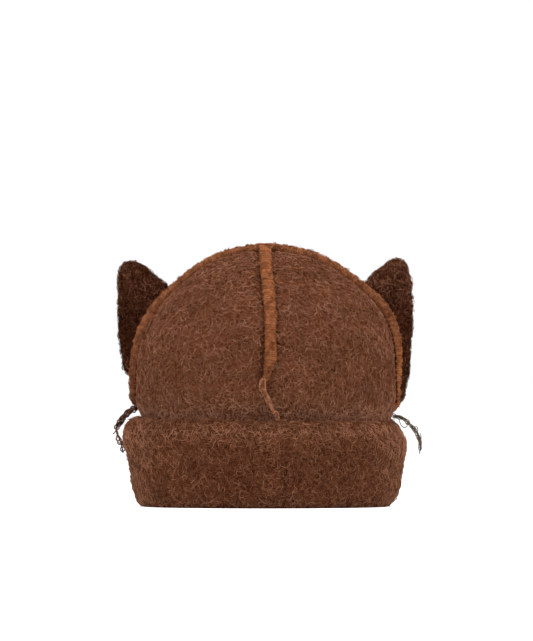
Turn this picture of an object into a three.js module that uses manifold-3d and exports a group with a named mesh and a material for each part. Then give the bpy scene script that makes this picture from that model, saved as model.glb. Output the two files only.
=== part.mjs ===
// A baby's hat of thick brushed knit, with a turned-up cuff and two pointed ears.
// Four panels make the crown. Their overlocked seam allowances are left on the outside: one long arch runs
// from side to side over the top, and a centre seam runs down the front and another down the back.
// A thread tail is left at the foot of the front seam and at both ends of the arch.
//
// Frame: millimetres, +Z up. The origin is on the surface that the hat stands on, under the middle of its rim.
// The front faces -Y, and +X is to the right of someone who looks at the front.

import * as THREE from "three";
import { mergeVertices } from "three/addons/utils/BufferGeometryUtils.js";
import Module from "manifold-3d";

// The cloth
const fabric = 3.6;
const clearance = 0.3;

// The crown, measured on the outside of its panels
const crownHalfWidth = 68.2;
const crownHalfDepth = 75;
const domeHeight = 69.4;
const tuckHeight = 20.5;
const neckShare = 0.9457;

// The cuff
const cuffHeight = 45.5;
const cuffReach = 9.4;
const foldThickness = 4;
const restingInset = 1;

// The seams: a trough in the cloth, and the allowance that stands in it
const troughDepth = 1;
const troughWidth = 22;
const seamWidth = 6.2;
const seamHeight = 2.4;
const archWidth = 4;
const archHeight = 4.4;
const frontSeamFoot = 24;
const backSeamFoot = 4;
const archFootLeft = 9.6;
const archFootRight = 5.6;

// The ears
const earReach = 10.2;
const earShoulder = 18.5;
const earThickness = 7;
const earBow = 7;
const earLean = 3;
const leftEarFoot = 22;
const leftEarHeight = 63;
const rightEarFoot = 4.5;
const rightEarHeight = 81.5;

// The thread tails
const tailDiameter = 2;
const tailSides = 8;

const widestHeight = cuffHeight + tuckHeight;
const crownTop = widestHeight + domeHeight;
const crownFoot = foldThickness + clearance;

// Sections of the dome, from its top to its widest level. rise is a share of domeHeight, and left, right and
// depth are shares of the crown's half width and half depth.
const domeSections = [
  { rise: 1.0, left: 0.0, right: 0.0, depth: 0.0 },
  { rise: 0.952, left: 0.305, right: 0.325, depth: 0.31 },
  { rise: 0.865, left: 0.495, right: 0.515, depth: 0.505 },
  { rise: 0.77, left: 0.622, right: 0.652, depth: 0.635 },
  { rise: 0.665, left: 0.738, right: 0.782, depth: 0.75 },
  { rise: 0.555, left: 0.828, right: 0.882, depth: 0.842 },
  { rise: 0.43, left: 0.908, right: 0.948, depth: 0.917 },
  { rise: 0.29, left: 0.965, right: 0.985, depth: 0.968 },
  { rise: 0.145, left: 0.992, right: 0.998, depth: 0.993 },
  { rise: 0.0, left: 1.0, right: 1.0, depth: 1.0 },
];

// Sections where the crown tucks in above the cuff. drop is a share of tuckHeight, and girth of both half sizes.
const tuckSections = [
  { drop: 0.25, girth: 0.998 },
  { drop: 0.5, girth: 0.986 },
  { drop: 0.75, girth: 0.964 },
  { drop: 1.0, girth: 0.95 },
];

// Sections of the cuff, upwards. rise is a share of cuffHeight; outside and inside say how far its two faces
// stand out from the crown's wall, as shares of cuffReach. The first rows are the solid fold under that wall.
const foldSections = [
  { rise: 0.0, outside: -0.02 },
  { rise: 0.035, outside: 0.14 },
  { rise: 0.12, outside: 0.4 },
];
const cuffSections = [
  { rise: 0.25, outside: 0.58, inside: 0.11 },
  { rise: 0.4, outside: 0.69, inside: 0.22 },
  { rise: 0.55, outside: 0.83, inside: 0.36 },
  { rise: 0.7, outside: 0.97, inside: 0.49 },
  { rise: 0.82, outside: 1.0, inside: 0.52 },
  { rise: 0.915, outside: 0.93, inside: 0.46 },
  { rise: 0.975, outside: 0.75, inside: 0.41 },
  { rise: 1.0, outside: 0.56, inside: 0.5 },
];

// Width and height of a seam allowance's section, as shares of its own width and height.
const seamSection = [
  { across: -0.5, up: 0.0 },
  { across: -0.5, up: 0.5 },
  { across: -0.34, up: 0.88 },
  { across: -0.12, up: 1.0 },
  { across: 0.12, up: 1.0 },
  { across: 0.34, up: 0.88 },
  { across: 0.5, up: 0.5 },
  { across: 0.5, up: 0.0 },
];

// How the front allowance wanders to the right of the seam and narrows at its foot. down is a share of its
// length from the arch, and shift and width are shares of seamWidth.
const frontSeamRows = [
  { down: 0.0, shift: -0.06, width: 0.92 },
  { down: 0.2, shift: 0.18, width: 1.0 },
  { down: 0.4, shift: 0.38, width: 1.04 },
  { down: 0.6, shift: 0.5, width: 1.0 },
  { down: 0.8, shift: 0.52, width: 0.86 },
  { down: 0.92, shift: 0.3, width: 0.62 },
  { down: 1.0, shift: -0.02, width: 0.4 },
];
const straightSeamRows = [
  { down: 0.0, shift: 0.0, width: 1.0 },
  { down: 0.5, shift: 0.0, width: 1.0 },
  { down: 0.92, shift: 0.0, width: 0.9 },
  { down: 1.0, shift: 0.0, width: 0.6 },
];

// How the arch narrows and sinks towards each foot. down is a share of its length from the top, and width and
// tall are shares of archWidth and archHeight.
const archRows = [
  { down: 0.0, width: 1.0, tall: 1.0 },
  { down: 0.45, width: 1.0, tall: 1.0 },
  { down: 0.86, width: 1.0, tall: 0.96 },
  { down: 0.95, width: 0.86, tall: 0.76 },
  { down: 1.0, width: 0.62, tall: 0.5 },
];

// Sections of an ear, upwards. rise is a share of its height. left and right are how far its outer edge stands
// beyond the crown's half width, as shares of earReach. insideLeft and insideRight are how far its inner edge
// runs back over the crown, as shares of earShoulder. bulk is a share of earThickness.
const earSections = [
  { rise: -0.1, left: -0.62, right: -0.88, insideLeft: 1.0, insideRight: 1.0, bulk: 0.7 },
  { rise: 0.0, left: 0.32, right: -0.19, insideLeft: 1.0, insideRight: 1.0, bulk: 0.75 },
  { rise: 0.06, left: 0.62, right: 0.2, insideLeft: 1.0, insideRight: 1.0, bulk: 0.82 },
  { rise: 0.13, left: 0.78, right: 0.52, insideLeft: 1.0, insideRight: 1.0, bulk: 0.9 },
  { rise: 0.25, left: 0.91, right: 0.8, insideLeft: 1.0, insideRight: 1.0, bulk: 1.0 },
  { rise: 0.4, left: 0.98, right: 0.91, insideLeft: 1.0, insideRight: 1.0, bulk: 1.0 },
  { rise: 0.55, left: 1.02, right: 0.97, insideLeft: 1.0, insideRight: 1.0, bulk: 1.0 },
  { rise: 0.7, left: 1.03, right: 0.97, insideLeft: 1.0, insideRight: 1.0, bulk: 1.0 },
  { rise: 0.79, left: 1.04, right: 0.96, insideLeft: 0.89, insideRight: 1.0, bulk: 1.0 },
  { rise: 0.85, left: 1.02, right: 0.92, insideLeft: 0.65, insideRight: 0.83, bulk: 0.98 },
  { rise: 0.91, left: 0.97, right: 0.83, insideLeft: 0.42, insideRight: 0.59, bulk: 0.92 },
  { rise: 0.955, left: 0.83, right: 0.69, insideLeft: 0.2, insideRight: 0.33, bulk: 0.8 },
  { rise: 0.985, left: 0.64, right: 0.51, insideLeft: -0.01, insideRight: 0.14, bulk: 0.6 },
  { rise: 1.0, left: 0.4, right: 0.32, insideLeft: -0.17, insideRight: -0.02, bulk: 0.34 },
];

// Routes of the thread tails, from where each leaves its seam.
const frontTailRoute = [
  [-1.4, -75.8, 68.6],
  [-2.0, -75.9, 66.8],
  [-2.2, -75.9, 65.0],
  [-1.6, -75.8, 63.0],
  [-0.7, -75.6, 61.0],
  [0.3, -75.2, 59.0],
  [1.4, -74.8, 57.0],
  [2.4, -74.3, 55.0],
  [3.2, -73.8, 52.9],
  [3.9, -73.4, 50.9],
  [4.8, -73.2, 49.0],
  [6.0, -72.8, 47.3],
  [7.2, -72.5, 45.6],
  [8.2, -72.2, 43.7],
  [8.9, -71.9, 41.6],
  [9.3, -71.7, 39.5],
  [9.5, -71.7, 37.4],
];
const leftTailRoute = [
  [-67.3, 0.0, 53.0],
  [-69.0, -0.4, 52.3],
  [-70.8, -0.9, 51.3],
  [-72.5, -1.4, 50.1],
  [-74.1, -1.8, 48.6],
  [-75.5, -2.2, 46.9],
  [-76.7, -2.6, 45.1],
  [-78.0, -3.0, 43.4],
  [-79.0, -3.4, 41.6],
  [-78.9, -3.8, 39.5],
  [-78.1, -4.2, 37.5],
  [-77.2, -4.6, 35.6],
  [-76.5, -5.0, 33.6],
  [-76.1, -5.4, 31.5],
  [-75.5, -6.0, 28.8],
];
const rightTailRoute = [
  [66.6, 0.0, 49.6],
  [67.6, 0.0, 48.4],
  [69.0, -0.6, 47.7],
  [70.7, -1.8, 47.5],
  [72.4, -3.0, 46.9],
  [74.1, -3.9, 45.8],
  [75.7, -4.6, 44.3],
  [77.2, -5.0, 42.7],
  [78.7, -5.0, 41.0],
  [80.0, -5.3, 39.2],
  [81.0, -6.1, 37.2],
  [81.7, -7.2, 35.2],
  [82.0, -8.0, 33.1],
  [82.0, -8.2, 30.9],
  [81.7, -8.0, 28.7],
];

const angleSteps = 11;
const stepsPerSection = 2;
const cuffSegments = 48;
const quarterTurn = Math.PI / 2;

const wasm = await Module();
wasm.setup();

// Value of one column at a place counted in rows, on a smooth curve through the rows.
function smoothValue(rows, key, place, before, after) {
  const last = rows.length - 1;
  const index = Math.min(Math.max(Math.floor(place), 0), last - 1);
  const t = place - index;
  const p1 = rows[index][key];
  const p2 = rows[index + 1][key];
  const p0 = index > 0 ? rows[index - 1][key] : (before ?? 2 * p1 - p2);
  const p3 = index + 2 <= last ? rows[index + 2][key] : (after ?? 2 * p2 - p1);
  const a = 2 * p1;
  const b = p2 - p0;
  const c = 2 * p0 - 5 * p1 + 4 * p2 - p3;
  const d = 3 * p1 - p0 - 3 * p2 + p3;
  return (a + b * t + c * t * t + d * t * t * t) / 2;
}

// Place, counted in rows, at which a column that only rises or only falls has the value asked for.
function placeOf(rows, key, value, before) {
  const rising = rows[rows.length - 1][key] > rows[0][key];
  let low = 0;
  let high = rows.length - 1;
  for (let i = 0; i < 50; i++) {
    const middle = (low + high) / 2;
    const short = smoothValue(rows, key, middle, before) < value;
    if (short === rising) low = middle;
    else high = middle;
  }
  return (low + high) / 2;
}

// A closed solid mesh from triangles given as three points each. Triangles that have collapsed are dropped,
// and all are turned round if they face inwards.
function closedGeometry(triangles) {
  const flat = triangles.flatMap((triangle) => triangle.flatMap((p) => [p.x, p.y, p.z]));
  const loose = new THREE.BufferGeometry();
  loose.setAttribute("position", new THREE.Float32BufferAttribute(flat, 3));
  const merged = mergeVertices(loose, 1e-3);
  const corner = merged.index.array;
  const point = (i) => new THREE.Vector3().fromBufferAttribute(merged.attributes.position, i);
  const kept = [];
  let volume = 0;
  for (let i = 0; i < corner.length; i += 3) {
    const [a, b, c] = [corner[i], corner[i + 1], corner[i + 2]];
    if (a === b || b === c || a === c) continue;
    kept.push([a, b, c]);
    volume += point(a).dot(point(b).cross(point(c)));
  }
  merged.setIndex(kept.flatMap(([a, b, c]) => (volume > 0 ? [a, b, c] : [a, c, b])));
  return merged;
}

// Skins a row of sections, each a loop with the same number of points. A ring of sections closes on itself,
// and an open row is capped at both ends.
function loft(sections, ring = false) {
  const triangles = [];
  const count = sections[0].length;
  const spans = ring ? sections.length : sections.length - 1;
  for (let i = 0; i < spans; i++) {
    const near = sections[i];
    const far = sections[(i + 1) % sections.length];
    for (let j = 0; j < count; j++) {
      const k = (j + 1) % count;
      triangles.push([near[j], near[k], far[k]], [near[j], far[k], far[j]]);
    }
  }
  if (!ring) {
    const first = sections[0];
    const last = sections[sections.length - 1];
    const faces = THREE.ShapeUtils.triangulateShape(flattened(first), []);
    const farFaces = THREE.ShapeUtils.triangulateShape(flattened(last), []);
    for (const [a, b, c] of faces) triangles.push([first[c], first[b], first[a]]);
    for (const [a, b, c] of farFaces) triangles.push([last[a], last[b], last[c]]);
  }
  return closedGeometry(triangles);
}

// A nearly flat loop's points in the plane of the loop.
function flattened(loop) {
  const normal = new THREE.Vector3();
  loop.forEach((p, i) => normal.add(p.clone().cross(loop[(i + 1) % loop.length])));
  if (normal.lengthSq() < 1e-12) return loop.map((p) => new THREE.Vector2(p.x, p.y));
  normal.normalize();
  const turn = new THREE.Quaternion().setFromUnitVectors(normal, new THREE.Vector3(0, 0, 1));
  return loop.map((p) => {
    const q = p.clone().applyQuaternion(turn);
    return new THREE.Vector2(q.x, q.y);
  });
}

// The crown's surface

const crownRows = [
  ...domeSections.map(({ rise, left, right, depth }) => ({
    height: widestHeight + rise * domeHeight,
    left: left * crownHalfWidth,
    right: right * crownHalfWidth,
    depth: depth * crownHalfDepth,
  })),
  ...tuckSections.map(({ drop, girth }) => ({
    height: widestHeight - drop * tuckHeight,
    left: girth * crownHalfWidth,
    right: girth * crownHalfWidth,
    depth: girth * crownHalfDepth,
  })),
  ...[0.5, 1].map((share) => ({
    height: cuffHeight - share * (cuffHeight - crownFoot),
    left: neckShare * crownHalfWidth,
    right: neckShare * crownHalfWidth,
    depth: neckShare * crownHalfDepth,
  })),
];
const lastPlace = crownRows.length - 1;

// The crown's height and half sizes at a place counted in rows from the top. Rows mirrored over the top keep
// the dome smooth there.
function crownSection(place) {
  const next = crownRows[1];
  return {
    height: smoothValue(crownRows, "height", place, next.height),
    left: smoothValue(crownRows, "left", place, -next.left),
    right: smoothValue(crownRows, "right", place, -next.right),
    depth: smoothValue(crownRows, "depth", place, -next.depth),
  };
}

const placeAtHeight = (height) => placeOf(crownRows, "height", height, crownRows[1].height);

function halfWidth(section, angle) {
  return Math.cos(angle) >= 0 ? section.right : section.left;
}

function plainPoint(angle, place) {
  const section = crownSection(place);
  return new THREE.Vector3(
    halfWidth(section, angle) * Math.cos(angle),
    section.depth * Math.sin(angle),
    section.height,
  );
}

function crownNormal(angle, place) {
  const step = 1e-3;
  if (place < step) return new THREE.Vector3(0, 0, 1);
  const high = Math.min(place + step, lastPlace);
  const along = plainPoint(angle, high).sub(plainPoint(angle, high - 2 * step));
  const round = plainPoint(angle + step, place).sub(plainPoint(angle - step, place));
  return along.cross(round).normalize();
}

// How deep the cloth lies in the trough of the nearest seam.
function sink(angle, place) {
  const section = crownSection(place);
  const nearest = Math.abs(angle - quarterTurn * Math.round(angle / quarterTurn));
  const radius = Math.hypot(halfWidth(section, angle) * Math.cos(angle), section.depth * Math.sin(angle));
  return troughDepth * (1 - THREE.MathUtils.smoothstep(radius * nearest, seamWidth / 2, troughWidth / 2));
}

// A point at an angle round the crown and a place down it, standing out from its cloth.
function crownPoint(angle, place, out = 0) {
  const offset = out - sink(angle, place);
  return plainPoint(angle, place).addScaledVector(crownNormal(angle, place), offset);
}

// Places from the top down at which the crown has a ring of points.
const ringPlaces = [];
for (let i = 0; i <= lastPlace * stepsPerSection; i++) ringPlaces.push(i / stepsPerSection);

// Angles across one panel, closer together beside its seams.
const panelAngles = [];
for (let i = 0; i <= angleSteps; i++) {
  const share = i / angleSteps;
  const eased = share - (0.72 * Math.sin(2 * Math.PI * share)) / (2 * Math.PI);
  panelAngles.push(quarterTurn * eased);
}

// One quarter of the crown, a wall of one thickness of cloth, set off from its neighbours by half a clearance.
function panelGeometry(startAngle) {
  const middle = startAngle + quarterTurn / 2;
  const apart = new THREE.Vector3(Math.sign(Math.cos(middle)), Math.sign(Math.sin(middle)), 0);
  apart.multiplyScalar(clearance / 2);
  const at = (turn, place, out) => crownPoint(startAngle + turn, place, out).add(apart);
  const sections = ringPlaces.map((place) => [
    ...panelAngles.map((turn) => at(turn, place, 0)),
    ...panelAngles.toReversed().map((turn) => at(turn, place, -fabric)),
  ]);
  return loft(sections.toReversed());
}

// Everything inside the crown's outer face, swollen by a clearance, from the cuff's height up.
function crownEnvelope() {
  const full = [0, 1, 2, 3].flatMap((quarter) =>
    panelAngles.slice(0, -1).map((turn) => quarter * quarterTurn + turn),
  );
  const footPlace = placeAtHeight(cuffHeight / 2);
  const places = ringPlaces.filter((place) => place <= footPlace);
  const out = clearance * 1.5;
  return loft(places.toReversed().map((place) => full.map((angle) => crownPoint(angle, place, out))));
}

// The cuff

// The cuff's section as points of how far out from the crown's wall, and how high.
function cuffOutline() {
  const up = ({ rise, outside }) => [outside * cuffReach, rise * cuffHeight];
  const down = ({ rise, inside }) => [inside * cuffReach, rise * cuffHeight];
  return [
    [-fabric + restingInset, 0],
    ...foldSections.map(up),
    ...cuffSections.map(up),
    ...cuffSections.toReversed().map(down),
    [cuffSections[0].inside * cuffReach, foldThickness],
    [-fabric, foldThickness],
    [-fabric, foldThickness / 2],
  ];
}

function cuffGeometry() {
  const outline = cuffOutline();
  const width = neckShare * crownHalfWidth;
  const depth = neckShare * crownHalfDepth;
  const sections = [];
  for (let i = 0; i < cuffSegments; i++) {
    const angle = (2 * Math.PI * i) / cuffSegments;
    sections.push(
      outline.map(
        ([out, height]) =>
          new THREE.Vector3((width + out) * Math.cos(angle), (depth + out) * Math.sin(angle), height),
      ),
    );
  }
  return loft(sections, true);
}

// The seam allowances

// A point beside a seam: sideways is the distance from the seam's plane, which holds the angle given.
function besideSeam(seamAngle, height, sideways, out) {
  const across = seamAngle === 0 || seamAngle === Math.PI;
  const size = across ? crownHalfDepth : crownHalfWidth;
  const lowered = widestHeight + (height - widestHeight) * Math.cos(sideways / size);
  const place = placeAtHeight(lowered);
  const section = crownSection(place);
  const half = across ? section.depth : halfWidth(section, sideways >= 0 ? 0 : Math.PI);
  const turn = Math.asin(THREE.MathUtils.clamp(sideways / Math.max(half, 1e-6), -1, 1));
  const forward = seamAngle === 0 || seamAngle === -quarterTurn;
  return crownPoint(seamAngle + (forward ? turn : -turn), place, out);
}

function seamSectionAt(seamAngle, height, shift, width, tall) {
  const seat = clearance * 1.5;
  return seamSection.map(({ across, up }) =>
    besideSeam(seamAngle, height, shift + across * width, seat + up * tall),
  );
}

// Places down the crown's rings, with a start and a foot of their own.
function placesBetween(topPlace, footPlace) {
  const apart = 0.4 / stepsPerSection;
  const inside = ringPlaces.filter((place) => place > topPlace + apart && place < footPlace - apart);
  return [topPlace, ...inside, footPlace];
}

// A centre seam's allowance, from beside the arch down to its foot.
function centreSeamGeometry(seamAngle, footHeight, rows) {
  const startDepth = archWidth / 2 + 2 * clearance + archHeight * 0.25;
  const topPlace = placeOf(crownRows, "depth", startDepth, -crownRows[1].depth);
  const footPlace = placeAtHeight(footHeight);
  const sections = placesBetween(topPlace, footPlace).map((place) => {
    const row = placeOf(rows, "down", (place - topPlace) / (footPlace - topPlace));
    const shift = smoothValue(rows, "shift", row) * seamWidth;
    const width = smoothValue(rows, "width", row) * seamWidth;
    return seamSectionAt(seamAngle, crownSection(place).height, shift, width, seamHeight);
  });
  return loft(sections);
}

// The side seams' allowance, one strip from the left end over the top to the right end.
function archGeometry() {
  const side = (angle, foot) => {
    const footPlace = placeAtHeight(cuffHeight + foot);
    return placesBetween(0, footPlace).map((place) => {
      const row = placeOf(archRows, "down", place / footPlace);
      const width = smoothValue(archRows, "width", row) * archWidth;
      const tall = smoothValue(archRows, "tall", row) * archHeight;
      return seamSectionAt(angle, crownSection(place).height, 0, width, tall);
    });
  };
  return loft([...side(Math.PI, archFootLeft).toReversed(), ...side(0, archFootRight).slice(1)]);
}

// The ears

// A closed mesh as a solid that can be joined and cut.
function solidOf(geometry) {
  const vertProperties = geometry.attributes.position.array;
  const triVerts = new Uint32Array(geometry.index.array);
  return new wasm.Manifold(new wasm.Mesh({ numProp: 3, vertProperties, triVerts }));
}

function geometryOf(solid) {
  const { vertProperties, triVerts } = solid.getMesh();
  const geometry = new THREE.BufferGeometry();
  geometry.setAttribute("position", new THREE.BufferAttribute(vertProperties, 3));
  geometry.setIndex(new THREE.BufferAttribute(triVerts, 1));
  return geometry;
}

// One ear: padded sections stacked upwards, bowed so that its hollow faces away from the front, then cut to
// sit on the crown just behind the arch.
function earGeometry(side, inside, foot, height) {
  const direction = side === "left" ? -1 : 1;
  const earFoot = cuffHeight + foot;
  const seat = archWidth / 2 + clearance + earThickness / 2;
  const sectionPoints = 16;
  const roundness = 2.4;
  const padded = (value) => Math.sign(value) * Math.abs(value) ** (2 / roundness);
  const rows = earSections.length - 1;
  const sections = [];
  for (let i = 0; i <= rows; i++) {
    const row = earSections[i];
    const outer = crownHalfWidth + row[side] * earReach;
    const inner = crownHalfWidth - row[inside] * earShoulder;
    const middle = (outer + inner) / 2;
    const half = Math.max((outer - inner) / 2, earThickness * 0.06);
    const sway = 2 * row.rise - 1;
    const section = [];
    for (let j = 0; j < sectionPoints; j++) {
      const turn = (2 * Math.PI * j) / sectionPoints;
      const out = middle + half * padded(Math.cos(turn));
      const lean = (earLean * Math.max(out - crownHalfWidth, 0)) / earReach;
      const back = seat + earBow * sway * sway + lean;
      const thick = (earThickness / 2) * row.bulk * padded(Math.sin(turn));
      section.push(new THREE.Vector3(direction * out, back + thick, earFoot + row.rise * height));
    }
    sections.push(section);
  }
  return geometryOf(solidOf(loft(sections)).subtract(solidOf(crownEnvelope())));
}

// The thread tails

function tailGeometry(route) {
  const path = new THREE.CatmullRomCurve3(route.map((p) => new THREE.Vector3(...p)));
  const section = new THREE.Shape();
  for (let i = 0; i < tailSides; i++) {
    const angle = (2 * Math.PI * i) / tailSides;
    const [x, y] = [(tailDiameter / 2) * Math.cos(angle), (tailDiameter / 2) * Math.sin(angle)];
    if (i === 0) section.moveTo(x, y);
    else section.lineTo(x, y);
  }
  return new THREE.ExtrudeGeometry(section, { extrudePath: path, steps: route.length - 1 });
}

// The materials and the pieces

const knit = new THREE.MeshStandardMaterial({ color: "#6b4130", roughness: 0.95, metalness: 0 });
const cuffKnit = new THREE.MeshStandardMaterial({ color: "#5f3a29", roughness: 0.95, metalness: 0 });
const earKnit = new THREE.MeshStandardMaterial({ color: "#3c1f13", roughness: 0.95, metalness: 0 });
const overlockThread = new THREE.MeshStandardMaterial({ color: "#8f5535", roughness: 0.85, metalness: 0 });
const tailThread = new THREE.MeshStandardMaterial({ color: "#3a2a22", roughness: 0.85, metalness: 0 });

const hat = new THREE.Group();

function add(name, geometry, material) {
  const mesh = new THREE.Mesh(geometry, material);
  mesh.name = name;
  hat.add(mesh);
}

add("panel_front_left", panelGeometry(-2 * quarterTurn), knit);
add("panel_front_right", panelGeometry(-quarterTurn), knit);
add("panel_back_right", panelGeometry(0), knit);
add("panel_back_left", panelGeometry(quarterTurn), knit);
add("cuff", cuffGeometry(), cuffKnit);
add("arch_seam", archGeometry(), overlockThread);
const frontStrip = centreSeamGeometry(-quarterTurn, cuffHeight + frontSeamFoot, frontSeamRows);
const backStrip = centreSeamGeometry(quarterTurn, cuffHeight + backSeamFoot, straightSeamRows);
add("front_seam", frontStrip, overlockThread);
add("back_seam", backStrip, overlockThread);
add("ear_left", earGeometry("left", "insideLeft", leftEarFoot, leftEarHeight), earKnit);
add("ear_right", earGeometry("right", "insideRight", rightEarFoot, rightEarHeight), earKnit);
add("front_tail", tailGeometry(frontTailRoute), overlockThread);
add("left_tail", tailGeometry(leftTailRoute), tailThread);
add("right_tail", tailGeometry(rightTailRoute), tailThread);

export default hat;
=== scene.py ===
"""A baby's hat of brushed knit with pointed ears, standing on its turned-up cuff."""
import math

import bmesh
import bpy
import numpy as np
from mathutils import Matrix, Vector, noise


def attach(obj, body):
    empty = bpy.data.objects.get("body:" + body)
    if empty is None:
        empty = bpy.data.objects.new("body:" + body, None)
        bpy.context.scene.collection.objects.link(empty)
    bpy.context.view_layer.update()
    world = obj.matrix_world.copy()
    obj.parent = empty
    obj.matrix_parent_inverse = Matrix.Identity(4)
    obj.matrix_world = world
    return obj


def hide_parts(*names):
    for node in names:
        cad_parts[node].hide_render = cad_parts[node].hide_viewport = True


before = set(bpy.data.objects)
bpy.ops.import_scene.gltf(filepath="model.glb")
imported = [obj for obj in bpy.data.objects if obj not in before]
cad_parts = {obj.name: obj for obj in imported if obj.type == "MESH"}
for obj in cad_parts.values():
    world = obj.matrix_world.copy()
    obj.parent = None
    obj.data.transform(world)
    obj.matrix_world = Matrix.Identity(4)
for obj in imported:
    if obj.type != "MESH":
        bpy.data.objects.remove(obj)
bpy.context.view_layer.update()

MM = 0.001
QUARTER = math.pi / 2

# Sizes of the hat in millimetres, as in the part
FABRIC = 3.6
CROWN_HALF_WIDTH = 68.2
CROWN_HALF_DEPTH = 75.0
DOME_HEIGHT = 69.4
TUCK_HEIGHT = 20.5
NECK_SHARE = 0.9457
CUFF_HEIGHT = 45.5
CUFF_REACH = 9.4
FOLD = 4.0
WIDEST = CUFF_HEIGHT + TUCK_HEIGHT
CROWN_FOOT = FOLD + 0.3
SEAM_WIDTH = 6.2
SEAM_HEIGHT = 2.4
ARCH_WIDTH = 4.0
ARCH_HEIGHT = 4.4
ARCH_FOOT_LEFT = 9.6
ARCH_FOOT_RIGHT = 5.6
FRONT_SEAM_FOOT = CUFF_HEIGHT + 22
BACK_SEAM_FOOT = CUFF_HEIGHT + 4
SEAM_SEAT = 0.45
TROUGH_DEPTH = 1.0
TROUGH_WIDTH = 22.0
# How far right of the middle the cuff's own seam is
CUFF_SEAM_ASIDE = 10.3

# The picture: millimetres to a pixel, and the column and row of the middle of the hat's foot
PIXEL = 0.53
MIDDLE_COLUMN = 265.5
FOOT_ROW = 507

# rise, left, right, depth
DOME = [
    (1.0, 0.0, 0.0, 0.0), (0.952, 0.305, 0.325, 0.31), (0.865, 0.495, 0.515, 0.505),
    (0.77, 0.622, 0.652, 0.635), (0.665, 0.738, 0.782, 0.75), (0.555, 0.828, 0.882, 0.842),
    (0.43, 0.908, 0.948, 0.917), (0.29, 0.965, 0.985, 0.968), (0.145, 0.992, 0.998, 0.993),
    (0.0, 1.0, 1.0, 1.0),
]
# drop, girth
TUCK = [(0.25, 0.998), (0.5, 0.986), (0.75, 0.964), (1.0, 0.95)]
# rise, outside
FOLD_ROWS = [(0.0, -0.02), (0.035, 0.14), (0.12, 0.4)]
# height, left, right: how far the cuff's outer face stands out beyond its solid on either side
CUFF_SIDES = [
    (0.0, 0.4, -1.9), (3.0, 0.3, 0.2), (7.0, 0.2, 1.0), (20.0, 0.0, 0.7), (29.0, 0.2, 0.2), (33.0, 0.9, 0.0),
    (37.0, 1.2, -1.0), (40.5, 0.9, -2.4), (43.0, 0.2, -3.4), (46.0, 0.0, -3.6),
]
# rise, outside, inside
CUFF_ROWS = [
    (0.25, 0.58, 0.11), (0.4, 0.69, 0.22), (0.55, 0.83, 0.36), (0.7, 0.97, 0.49),
    (0.82, 1.0, 0.52), (0.915, 0.93, 0.46), (0.975, 0.75, 0.41), (1.0, 0.56, 0.5),
]
# down, shift, width: the strip's middle stays within 1 mm of its solid's
FRONT_SEAM = [
    (0.0, -0.03, 0.88), (0.14, 0.03, 0.84), (0.265, 0.1, 0.86), (0.37, 0.24, 0.92), (0.475, 0.32, 0.94),
    (0.575, 0.42, 0.88), (0.66, 0.46, 0.84), (0.74, 0.4, 0.8), (0.815, 0.44, 0.85), (0.89, 0.42, 0.88),
    (0.94, 0.24, 0.56), (1.0, -0.02, 0.34),
]
BACK_SEAM = [(0.0, 0.0, 1.0), (0.5, 0.0, 1.0), (0.92, 0.0, 0.9), (1.0, 0.0, 0.6)]
# down, width, height on the left, height on the right
ARCH_TAPER = [
    (0.0, 1.0, 1.06, 1.08), (0.22, 1.0, 1.0, 1.14), (0.34, 1.0, 1.06, 1.24), (0.45, 1.0, 1.26, 1.38),
    (0.58, 1.0, 1.24, 1.36), (0.68, 1.0, 1.12, 1.16), (0.78, 1.0, 1.04, 0.98), (0.94, 0.95, 0.95, 0.84),
    (1.0, 0.7, 0.62, 0.4),
]

# The thread tails' routes, in metres, as in the part
FRONT_TAIL = [
    (-0.0014, -0.0758, 0.0686), (-0.0020, -0.0759, 0.0668), (-0.0022, -0.0759, 0.0650),
    (-0.0016, -0.0758, 0.0630), (-0.0007, -0.0756, 0.0610), (0.0003, -0.0752, 0.0590),
    (0.0014, -0.0748, 0.0570), (0.0024, -0.0743, 0.0550), (0.0032, -0.0738, 0.0529),
    (0.0039, -0.0734, 0.0509), (0.0048, -0.0732, 0.0490), (0.0060, -0.0728, 0.0473),
    (0.0072, -0.0725, 0.0456), (0.0082, -0.0722, 0.0437), (0.0089, -0.0719, 0.0416),
    (0.0093, -0.0717, 0.0395), (0.0095, -0.0717, 0.0374),
]
LEFT_TAIL = [
    (-0.0673, 0.0000, 0.0530), (-0.0690, -0.0004, 0.0523), (-0.0708, -0.0009, 0.0513),
    (-0.0725, -0.0014, 0.0501), (-0.0741, -0.0018, 0.0486), (-0.0755, -0.0022, 0.0469),
    (-0.0767, -0.0026, 0.0451), (-0.0780, -0.0030, 0.0434), (-0.0790, -0.0034, 0.0416),
    (-0.0789, -0.0038, 0.0395), (-0.0781, -0.0042, 0.0375), (-0.0772, -0.0046, 0.0356),
    (-0.0765, -0.0050, 0.0336), (-0.0761, -0.0054, 0.0315), (-0.0755, -0.0060, 0.0288),
]
RIGHT_TAIL = [
    (0.0666, 0.0000, 0.0496), (0.0676, 0.0000, 0.0484), (0.0690, -0.0006, 0.0477),
    (0.0707, -0.0018, 0.0475), (0.0724, -0.0030, 0.0469), (0.0741, -0.0039, 0.0458),
    (0.0757, -0.0046, 0.0443), (0.0772, -0.0050, 0.0427), (0.0787, -0.0050, 0.0410),
    (0.0800, -0.0053, 0.0392), (0.0810, -0.0061, 0.0372), (0.0817, -0.0072, 0.0352),
    (0.0820, -0.0080, 0.0331), (0.0820, -0.0082, 0.0309), (0.0817, -0.0080, 0.0287),
]


# Curves and surfaces

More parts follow.
